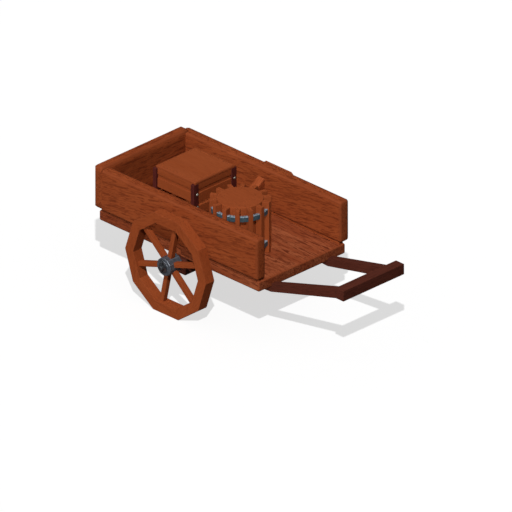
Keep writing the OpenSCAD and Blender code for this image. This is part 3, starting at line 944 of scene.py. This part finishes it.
@dataclass
class Handle:
    """Two arms that rise from under the floor, and the crossbar that joins them."""

    width: float = 39 * MM
    depth: float = 51 * MM
    tongue: float = 30 * MM
    tenon: float = 42 * MM
    tenon_depth: float = 25 * MM
    deepening: float = 8 * MM
    edge: float = 2 * MM
    hollow: float = 0.6 * MM
    bar_tooling: Tooling = Tooling(2 * MM, 2, 0.5 * MM, 0.07)

    def build(self) -> None:
        """Builds the handle."""
        for side in SIDES:
            self.arm(side)
        self.crossbar()
        self.pegs()

    def arm(self, side: str) -> None:
        """Builds an arm: a level tongue under the floor, then a rising beam that leans inwards."""
        node = f"arm_{side}"
        low, high = box(node)
        front, floor_z = floor_box()[1].x, floor_box()[0].z
        bar = box("crossbar")[0]
        sign = SIDES[side]
        inner, outer = sorted((abs(low.y), abs(high.y)))
        taper = (outer - inner - self.width) / (high.x - low.x)
        rise = high.z - self.depth
        root = floor_z - self.tongue
        pin = rise + (self.depth - self.tenon_depth) / 2
        side_view = [(low.x, root), (low.x, floor_z), (front, floor_z),
                     (front, root + self.depth), (bar.x, rise + self.depth),
                     (bar.x, pin + self.tenon_depth), (bar.x + self.tenon, pin + self.tenon_depth),
                     (bar.x + self.tenon, pin), (bar.x, pin), (bar.x, rise - self.deepening),
                     (front, root)]
        points = [(x, sign * (outer - self.width), z) for x, z in side_view]
        shape = Shape.outline(node, points, (0, sign * self.width, 0))
        shape.slice(Axis.X, 45 * MM)

        def is_free(a: Vector, b: Vector) -> bool:
            """Says whether an edge runs along the beam between the floor and the crossbar."""
            ahead, behind = min(a.x, b.x) > front - MM, max(a.x, b.x) < bar.x + MM
            return ahead and behind and abs(a.x - b.x) > MM

        shape.ease(self.edge, 2, is_free)
        shear = Matrix.Identity(4)
        shear[1][0] = -sign * taper
        shape.move(Matrix.Translation((0, sign * taper * low.x, 0)) @ shear)
        shape.hew(self.hollow, 0.08, 60 + sign)
        shape.lay((bar.x - front, -sign * taper * (bar.x - front), rise - root), (0, 1, 0),
                  60 + sign)
        shape.place(DARK, "cart", node)

    def crossbar(self) -> None:
        """Builds the crossbar."""
        low, high = box("crossbar")
        shape = Shape.block("crossbar", low, high)
        shape.slice(Axis.Y, 28 * MM).work(self.bar_tooling, 3)
        shape.lay((0, 1, 0), seed=66).place(DARK, "cart", "crossbar")

    def pegs(self) -> None:
        """Builds the two pegs that lock the arms' tenons, flush under the crossbar."""
        low, high = box("crossbar_pegs")
        radius = half("crossbar_pegs")
        x = (low.x + high.x) / 2
        for side, sign in SIDES.items():
            y = sign * (high.y - radius)
            profile = [(0, low.z), (radius, low.z), (radius, high.z), (0, high.z)]
            shape = Shape.turned(f"crossbar_peg_{side}", profile, (x, y, 0), Axis.Z, 20)
            shape.lay((0, 0, 1), (1, 0, 0), 70 + sign).place(DARK, "cart", "crossbar_pegs")


# --- The load


@dataclass
class Crate:
    """A nailed crate: four posts, gapped slats on every side, a base and a lid."""

    post: tuple[float, float] = (25 * MM, 38 * MM)
    slats: int = 4
    slat: float = 20 * MM
    gap: float = 20 * MM
    backing: float = 6 * MM
    nail: float = 8 * MM
    post_tooling: Tooling = Tooling(2.5 * MM, 2, 0.5 * MM, 0.05)
    slat_tooling: Tooling = Tooling(2.5 * MM, 2, 0.6 * MM, 0.06)
    base_tooling: Tooling = Tooling(1.5 * MM, 2, 0.5 * MM, 0.06)
    base_boards: int = 3
    base_gap: float = 1 * MM
    lid_bevel: float = 8 * MM
    nail_drop: float = 4.5 * MM
    nail_from_right: tuple[float, float] = (27 * MM, 16 * MM)

    def __post_init__(self) -> None:
        """Reads the heights of the slats from the frame."""
        self.low, self.high = box("crate_side_slats")
        self.pitch = (self.high.z - self.low.z + self.gap) / (self.slats - 0.25)

    def build(self) -> None:
        """Builds the crate."""
        self.posts()
        for number in range(self.slats):
            self.ring(number)
        self.backings()
        self.base()
        self.lid()
        self.nails()

    def slat_heights(self, number: int) -> tuple[float, float]:
        """Returns the bottom and top of a ring of slats, counted from the lowest."""
        bottom = self.low.z + number * self.pitch
        return bottom, min(bottom + self.pitch - self.gap, self.high.z)

    def posts(self) -> None:
        """Builds the four corner posts."""
        low, high = box("crate_posts")
        wide, deep = self.post
        for i, x in enumerate((low.x, high.x - wide)):
            for j, y in enumerate((low.y, high.y - deep)):
                name = f"crate_post_{2 * i + j + 1}"
                shape = Shape.block(name, (x, y, low.z), (x + wide, y + deep, high.z))
                shape.slice(Axis.Z, 35 * MM).work(self.post_tooling, i + 2 * j)
                shape.lay((0, 0, 1), (1, 0, 0), 80 + 2 * i + j)
                shape.place(POST, "crate", "crate_posts")

    def ring(self, number: int) -> None:
        """Builds the four slats at one height."""
        bottom, top = self.slat_heights(number)
        low, high = self.low, self.high
        spare = 0.4 * MM
        long_sides = {"right": low.y, "left": high.y - self.slat}
        for side, y in long_sides.items():
            name = f"crate_slat_{side}_{number + 1}"
            shape = Shape.block(name, (low.x, y, bottom), (high.x, y + self.slat, top))
            shape.slice(Axis.X, 40 * MM).work(self.slat_tooling, number + SIDES[side])
            shape.lay((1, 0, 0), (0, 1, 0), 90 + number + 5 * SIDES[side])
            shape.place(CRATE, "crate", "crate_side_slats")
        ends = {"rear": low.x, "front": high.x - self.slat}
        for i, (end, x) in enumerate(ends.items()):
            name = f"crate_slat_{end}_{number + 1}"
            shape = Shape.block(name, (x, low.y + self.slat + spare, bottom),
                                (x + self.slat, high.y - self.slat - spare, top))
            shape.slice(Axis.Y, 40 * MM).work(self.slat_tooling, number + 9 * i)
            shape.lay((0, 1, 0), (1, 0, 0), 100 + number + 5 * i)
            shape.place(CRATE, "crate", "crate_end_slats")

    def backings(self) -> None:
        """Builds the thin boards that close the gap under the uppermost slats from behind."""
        bottom, top = self.slat_heights(self.slats - 2)[1], self.slat_heights(self.slats - 1)[0]
        near, far = self.backing, 2 * self.backing
        low, high = self.low, self.high
        plans = {"right": ((near, -near), (near, far)), "left": ((near, -near), (-far, -near)),
                 "rear": ((near, far), (far, -far)), "front": ((-far, -near), (far, -far))}
        for name, (x, y) in plans.items():
            xs = [(low.x if value > 0 else high.x) + value for value in x]
            ys = [(low.y if value > 0 else high.y) + value for value in y]
            shape = Shape.block(f"crate_backing_{name}", (xs[0], ys[0], bottom - MM),
                                (xs[1], ys[1], top + MM))
            along = (1, 0, 0) if name in SIDES else (0, 1, 0)
            shape.ease(0.5 * MM, 1, edge_shade_and_wear=0).lay(along, (0, 0, 1), 105).place(CRATE, "crate")

    def base(self) -> None:
        """Builds the base, three boards side by side, clear of the posts."""
        low, high = box("crate_base")
        wide = self.post[0] - (self.low.x - box("crate_posts")[0].x)
        spare = self.base_gap / 2
        share = (high.y - low.y) / self.base_boards
        for i in range(self.base_boards):
            start = (low.x + wide, low.y + i * share + spare, low.z)
            end = (high.x - wide, low.y + (i + 1) * share - spare, high.z)
            shape = Shape.block(f"crate_base_{i + 1}", start, end).slice(Axis.X, 60 * MM)
            shape.work(self.base_tooling, i).lay((1, 0, 0), seed=110 + i)
            shape.place(CRATE, "crate", "crate_base")

    def lid(self) -> None:
        """Builds the lid, a slab with a broad bevel round its top."""
        low, high = box("crate_lid")
        shape = Shape.block("crate_lid", low, high)
        shape.slice(Axis.X, 33 * MM).slice(Axis.Y, 33 * MM)
        shape.ease(self.lid_bevel, 3, lambda a, b: min(a.z, b.z) > high.z - MM)
        shape.ease(1.5 * MM, 1, lambda a, b: max(a.z, b.z) < low.z + MM)
        shape.hew(0.6 * MM, 0.08, 5).lay((1, 0, 0), seed=120).place(CRATE, "crate", "crate_lid")

    def nails(self) -> None:
        """Builds the domed nail heads on the posts' front and rear faces."""
        low, high = box("crate_posts")
        head, sink, steps = 4 * MM, 2 * MM, 5
        right, left = self.nail_from_right
        turns = [k * math.pi / 2 / steps for k in range(steps)]
        for i, (x, out) in enumerate(((high.x, 1), (low.x, -1))):
            dome = [(self.nail * math.cos(a), out * head * math.sin(a)) for a in turns]
            profile = dome + [(0, out * head), (0, -out * sink), (self.nail, -out * sink)]
            for j, y in enumerate((low.y + right, high.y - left)):
                for number in range(self.slats - 1):
                    z = self.slat_heights(number)[1] - self.nail_drop
                    shape = Shape.turned(f"crate_nail_{i}{j}{number}", profile, (x, y, z),
                                         Axis.X, 20)
                    shape.place(NAIL_IRON, "crate", "crate_nails")


@dataclass
class Barrel:
    """A small barrel: staves, two heads, two iron hoops and fender strips over them."""

    strips: int = 14
    strip: float = 26 * MM
    wall: float = 24 * MM
    head_boards: int = 4
    phase: float = math.radians(1.43)
    hoop: float = 18 * MM
    hoop_chamfer: float = 2 * MM
    head_chamfer: float = 2.5 * MM
    strip_tooling: Tooling = Tooling(3 * MM, 2, 0.7 * MM, 0.06)

    def __post_init__(self) -> None:
        """Reads the barrel's place and sizes from the frame."""
        self.low, self.high = box("barrel_strips")
        self.middle = centre("barrel_strips")
        corner = self.strip / 2 * math.sin(self.phase)
        self.radius = (half("barrel_strips") - corner) / math.cos(self.phase)
        self.drum = half("barrel_head")
        self.head_low = box("barrel_head")[0].z
        self.hoop_radius = half("barrel_hoop_upper")

    def build(self) -> None:
        """Builds the barrel."""
        for number in range(self.strips):
            self.stave(number)
            self.fender(number)
        self.head()
        self.bottom()
        for place in ("upper", "lower"):
            self.band(place)

    def around(self, radius: float, angle: float, z: float) -> Vector:
        """Finds a point at a radius and an angle from the barrel's middle."""
        return Vector((self.middle.x + radius * math.cos(angle),
                       self.middle.y + radius * math.sin(angle), z))

    def stave(self, number: int) -> None:
        """Builds a stave, curved to the drum."""
        share = math.tau / self.strips
        gap = 0.2 * MM / self.drum
        steps = 5
        start = self.phase + (number - 0.5) * share + gap
        angles = [start + (share - 2 * gap) * i / steps for i in range(steps + 1)]
        outer = [self.around(self.drum, a, self.low.z) for a in angles]
        inner = [self.around(self.drum - self.wall, a, self.low.z) for a in reversed(angles)]
        shape = Shape.outline(f"barrel_stave_{number + 1}", outer + inner,
                              (0, 0, self.head_low - self.low.z))
        shape.slice(Axis.Z, 60 * MM)
        middle = self.phase + number * share
        shape.lay((0, 0, 1), (math.cos(middle), math.sin(middle), 0), 130 + number)
        shape.place(BARREL, "barrel", "barrel_staves")

    def fender(self, number: int) -> None:
        """Builds a fender strip, nailed upright over the hoops."""
        angle = self.phase + number * math.tau / self.strips
        short = 1.5 * MM * (1 + noise.noise(Vector((number * 1.7, 0.3, 0.9))))
        wide = self.strip / 2
        curve = self.drum - math.sqrt(self.drum ** 2 - wide ** 2)
        shape = Shape.block(f"barrel_strip_{number + 1}",
                            (self.drum - curve, -wide, self.low.z),
                            (self.radius, wide, self.high.z - short))
        shape.slice(Axis.Z, 35 * MM).work(self.strip_tooling, number)
        place = Matrix.Translation((self.middle.x, self.middle.y, 0))
        shape.move(place @ Matrix.Rotation(angle, 4, "Z"))
        shape.lay((0, 0, 1), (math.cos(angle), math.sin(angle), 0), 150 + number)
        shape.place(BARREL, "barrel", "barrel_strips")

    def head(self) -> None:
        """Builds the head, a disc of boards laid edge to edge."""
        low, high = box("barrel_head")
        cut = self.head_chamfer
        profile = [(0, low.z), (self.drum, low.z), (self.drum, high.z - cut),
                   (self.drum - cut, high.z), (0, high.z)]
        share = 2 * self.drum / self.head_boards
        for i in range(self.head_boards):
            shape = Shape.turned(f"barrel_head_{i + 1}", profile,
                                 (self.middle.x, self.middle.y, 0), Axis.Z, 72)
            start = self.middle.y - self.drum + i * share
            for place, side in ((start + 0.25 * MM, -1), (start + share - 0.25 * MM, 1)):
                rim = shape.cut((0, place, 0), (0, side, 0), trim=True)
                if rim:
                    bmesh.ops.contextual_create(shape.bm, geom=rim)
            shape.outward().lay((1, 0, 0), seed=170 + i)
            shape.place(BARREL, "barrel", "barrel_head")

    def bottom(self) -> None:
        """Builds the bottom, let in between the staves."""
        low, high = box("barrel_bottom")
        radius = half("barrel_bottom")
        profile = [(0, low.z), (radius, low.z), (radius, high.z), (0, high.z)]
        shape = Shape.turned("barrel_bottom", profile, (self.middle.x, self.middle.y, 0),
                             Axis.Z, 72)
        shape.lay((1, 0, 0), seed=180).place(BARREL, "barrel", "barrel_bottom")

    def band(self, place: str) -> None:
        """Builds a hoop with an eased top and bottom and a painted highlight on its upward faces.
        """
        node = f"barrel_hoop_{place}"
        low, high = box(node)
        profile = collar(self.hoop_radius - self.hoop, self.hoop_radius, low.z, high.z,
                         self.hoop_chamfer)
        shape = Shape.turned(node, profile, (self.middle.x, self.middle.y, 0), Axis.Z, 72)
        # Painted highlight: the hoop's upward faces are made brighter.
        shape.paint_highlight_on(lambda face: face.normal.z > 0.5).place(HOOP_IRON, "barrel", node)


@dataclass
class PitProp:
    """A short squared timber that leans up to the left side board."""

    lean: float = math.radians(34)
    spare_depth: float = 3 * MM
    toe: float = 10 * MM
    tooling: Tooling = Tooling(4 * MM, 2, 1.6 * MM, 0.05)

    def build(self) -> None:
        """Builds the prop, roughly squared."""
        low, high = box("pit_prop")
        width = high.x - low.x
        upright = (width + self.spare_depth) / math.cos(self.lean)
        rise = high.z - low.z
        heel = high.y - (rise - upright) / math.tan(self.lean)
        side_view = [(high.y, high.z), (high.y, high.z - upright), (heel, low.z),
                     (low.y, low.z), (low.y, low.z + self.toe)]
        points = [(low.x, y, z) for y, z in side_view]
        shape = Shape.outline("pit_prop", points, (width, 0, 0))
        shape.slice(Axis.Y, 30 * MM).slice(Axis.X, 27 * MM)
        shape.work(self.tooling, 8)
        shape.lay((0, math.cos(self.lean), math.sin(self.lean)), (1, 0, 0), 190)
        shape.place(PROP, "pit_prop", "pit_prop")


# --- The studio


@dataclass
class Studio:
    """A pale floor, a soft key light, an even fill and the camera."""

    azimuth: float = math.radians(45)
    elevation: float = math.radians(27)
    aim: Point = (0.0286, -0.0331, 0.312)
    span: float = 2.7136
    distance: float = 6.0
    floor_size: float = 60.0
    underfloor: float = -4.0
    sky_strength: float = 0.12
    key_strength: float = 2.46
    fill_strength: float = 2.1

    def build(self) -> None:
        """Builds the studio."""
        scene = bpy.context.scene
        scene.view_settings.view_transform = "Standard"
        self.sky(scene, self.sky_strength)
        floor = self.floor("studio_floor", 0, 0.52, 0.65)
        self.floor("studio_underfloor", self.underfloor, 0.0, 1.0)
        self.sun("key", (0.49, -0.49, 0.72), self.key_strength, 1.0, True)
        fill = self.sun("fill", (0.0, -0.75, 0.66), self.fill_strength, 10.0, False)
        self.spare_floor(fill, floor)
        self.camera(scene)

    def sky(self, scene: bpy.types.Scene, strength: float) -> None:
        """Lights everything evenly from all round."""
        world = bpy.data.worlds.new("sky")
        world.use_nodes = True
        background = world.node_tree.nodes["Background"]
        background.inputs["Color"].default_value = (1, 1, 1, 1)
        background.inputs["Strength"].default_value = strength
        scene.world = world

    def floor(self, name: str, height: float, pale: float, glow: float) -> bpy.types.Object:
        """Lays a floor, which glows a little so that it stays pale in shade.

        Args:
            name: The floor's name.
            height: Its height above the ground.
            pale: How much light it gives back, 0 to 1.
            glow: How brightly it glows.

        Returns:
            The floor.
        """
        bm = bmesh.new()
        matrix = Matrix.Translation((0, 0, height))
        bmesh.ops.create_grid(bm, x_segments=1, y_segments=1, size=self.floor_size / 2,
                              matrix=matrix)
        mesh = bpy.data.meshes.new(name)
        bm.to_mesh(mesh)
        bm.free()
        nodes = Nodes(name)
        nodes.set(nodes.shader, Base_Color=(pale, pale, pale, 1), Roughness=1.0,
                  Specular_IOR_Level=0.0, Emission_Color=(1, 1, 1, 1), Emission_Strength=glow)
        mesh.materials.append(nodes.material)
        floor = bpy.data.objects.new(name, mesh)
        bpy.context.scene.collection.objects.link(floor)
        floor.visible_diffuse = False
        floor.visible_glossy = False
        return floor

    def sun(self, name: str, towards: Point, strength: float, spread: float,
            shadow: bool) -> bpy.types.Object:
        """Hangs a sun lamp.

        Args:
            name: The lamp's name.
            towards: The direction from the cart to the lamp.
            strength: Its strength.
            spread: Its width in the sky, in degrees.
            shadow: Whether it casts shadows.

        Returns:
            The lamp.
        """
        light = bpy.data.lights.new(name, "SUN")
        light.energy = strength
        light.angle = math.radians(spread)
        light.use_shadow = shadow
        lamp = bpy.data.objects.new(name, light)
        lamp.rotation_euler = Vector(towards).to_track_quat("Z", "Y").to_euler()
        bpy.context.scene.collection.objects.link(lamp)
        return lamp

    def spare_floor(self, lamp: bpy.types.Object, floor: bpy.types.Object) -> None:
        """Keeps a lamp off the floor."""
        spared = bpy.data.collections.new("spared_by_" + lamp.name)
        spared.objects.link(floor)
        spared.collection_objects[0].light_linking.link_state = "EXCLUDE"
        lamp.light_linking.receiver_collection = spared

    def camera(self, scene: bpy.types.Scene) -> None:
        """Sets up the camera, which sees without perspective."""
        data = bpy.data.cameras.new("camera")
        data.type = "ORTHO"
        data.ortho_scale = self.span
        data.clip_end = 40
        camera = bpy.data.objects.new("camera", data)
        level = math.cos(self.elevation)
        back = Vector((math.sin(self.azimuth) * level, -math.cos(self.azimuth) * level,
                       math.sin(self.elevation)))
        camera.location = Vector(self.aim) + back * self.distance
        camera.rotation_euler = back.to_track_quat("Z", "Y").to_euler()
        scene.collection.objects.link(camera)
        scene.camera = camera


def main() -> None:
    """Builds the cart, its load and the studio."""
    logging.basicConfig(level=logging.INFO, format="%(name)s: %(message)s")
    assemblies = [Studio(), Bed(), Undercarriage(), Wheel("left"), Wheel("right"), Handle(),
                  Crate(), Barrel(), PitProp()]
    for assembly in assemblies:
        log.info("building %s", type(assembly).__name__)
        assembly.build()


if __name__ == "__main__":
    main()
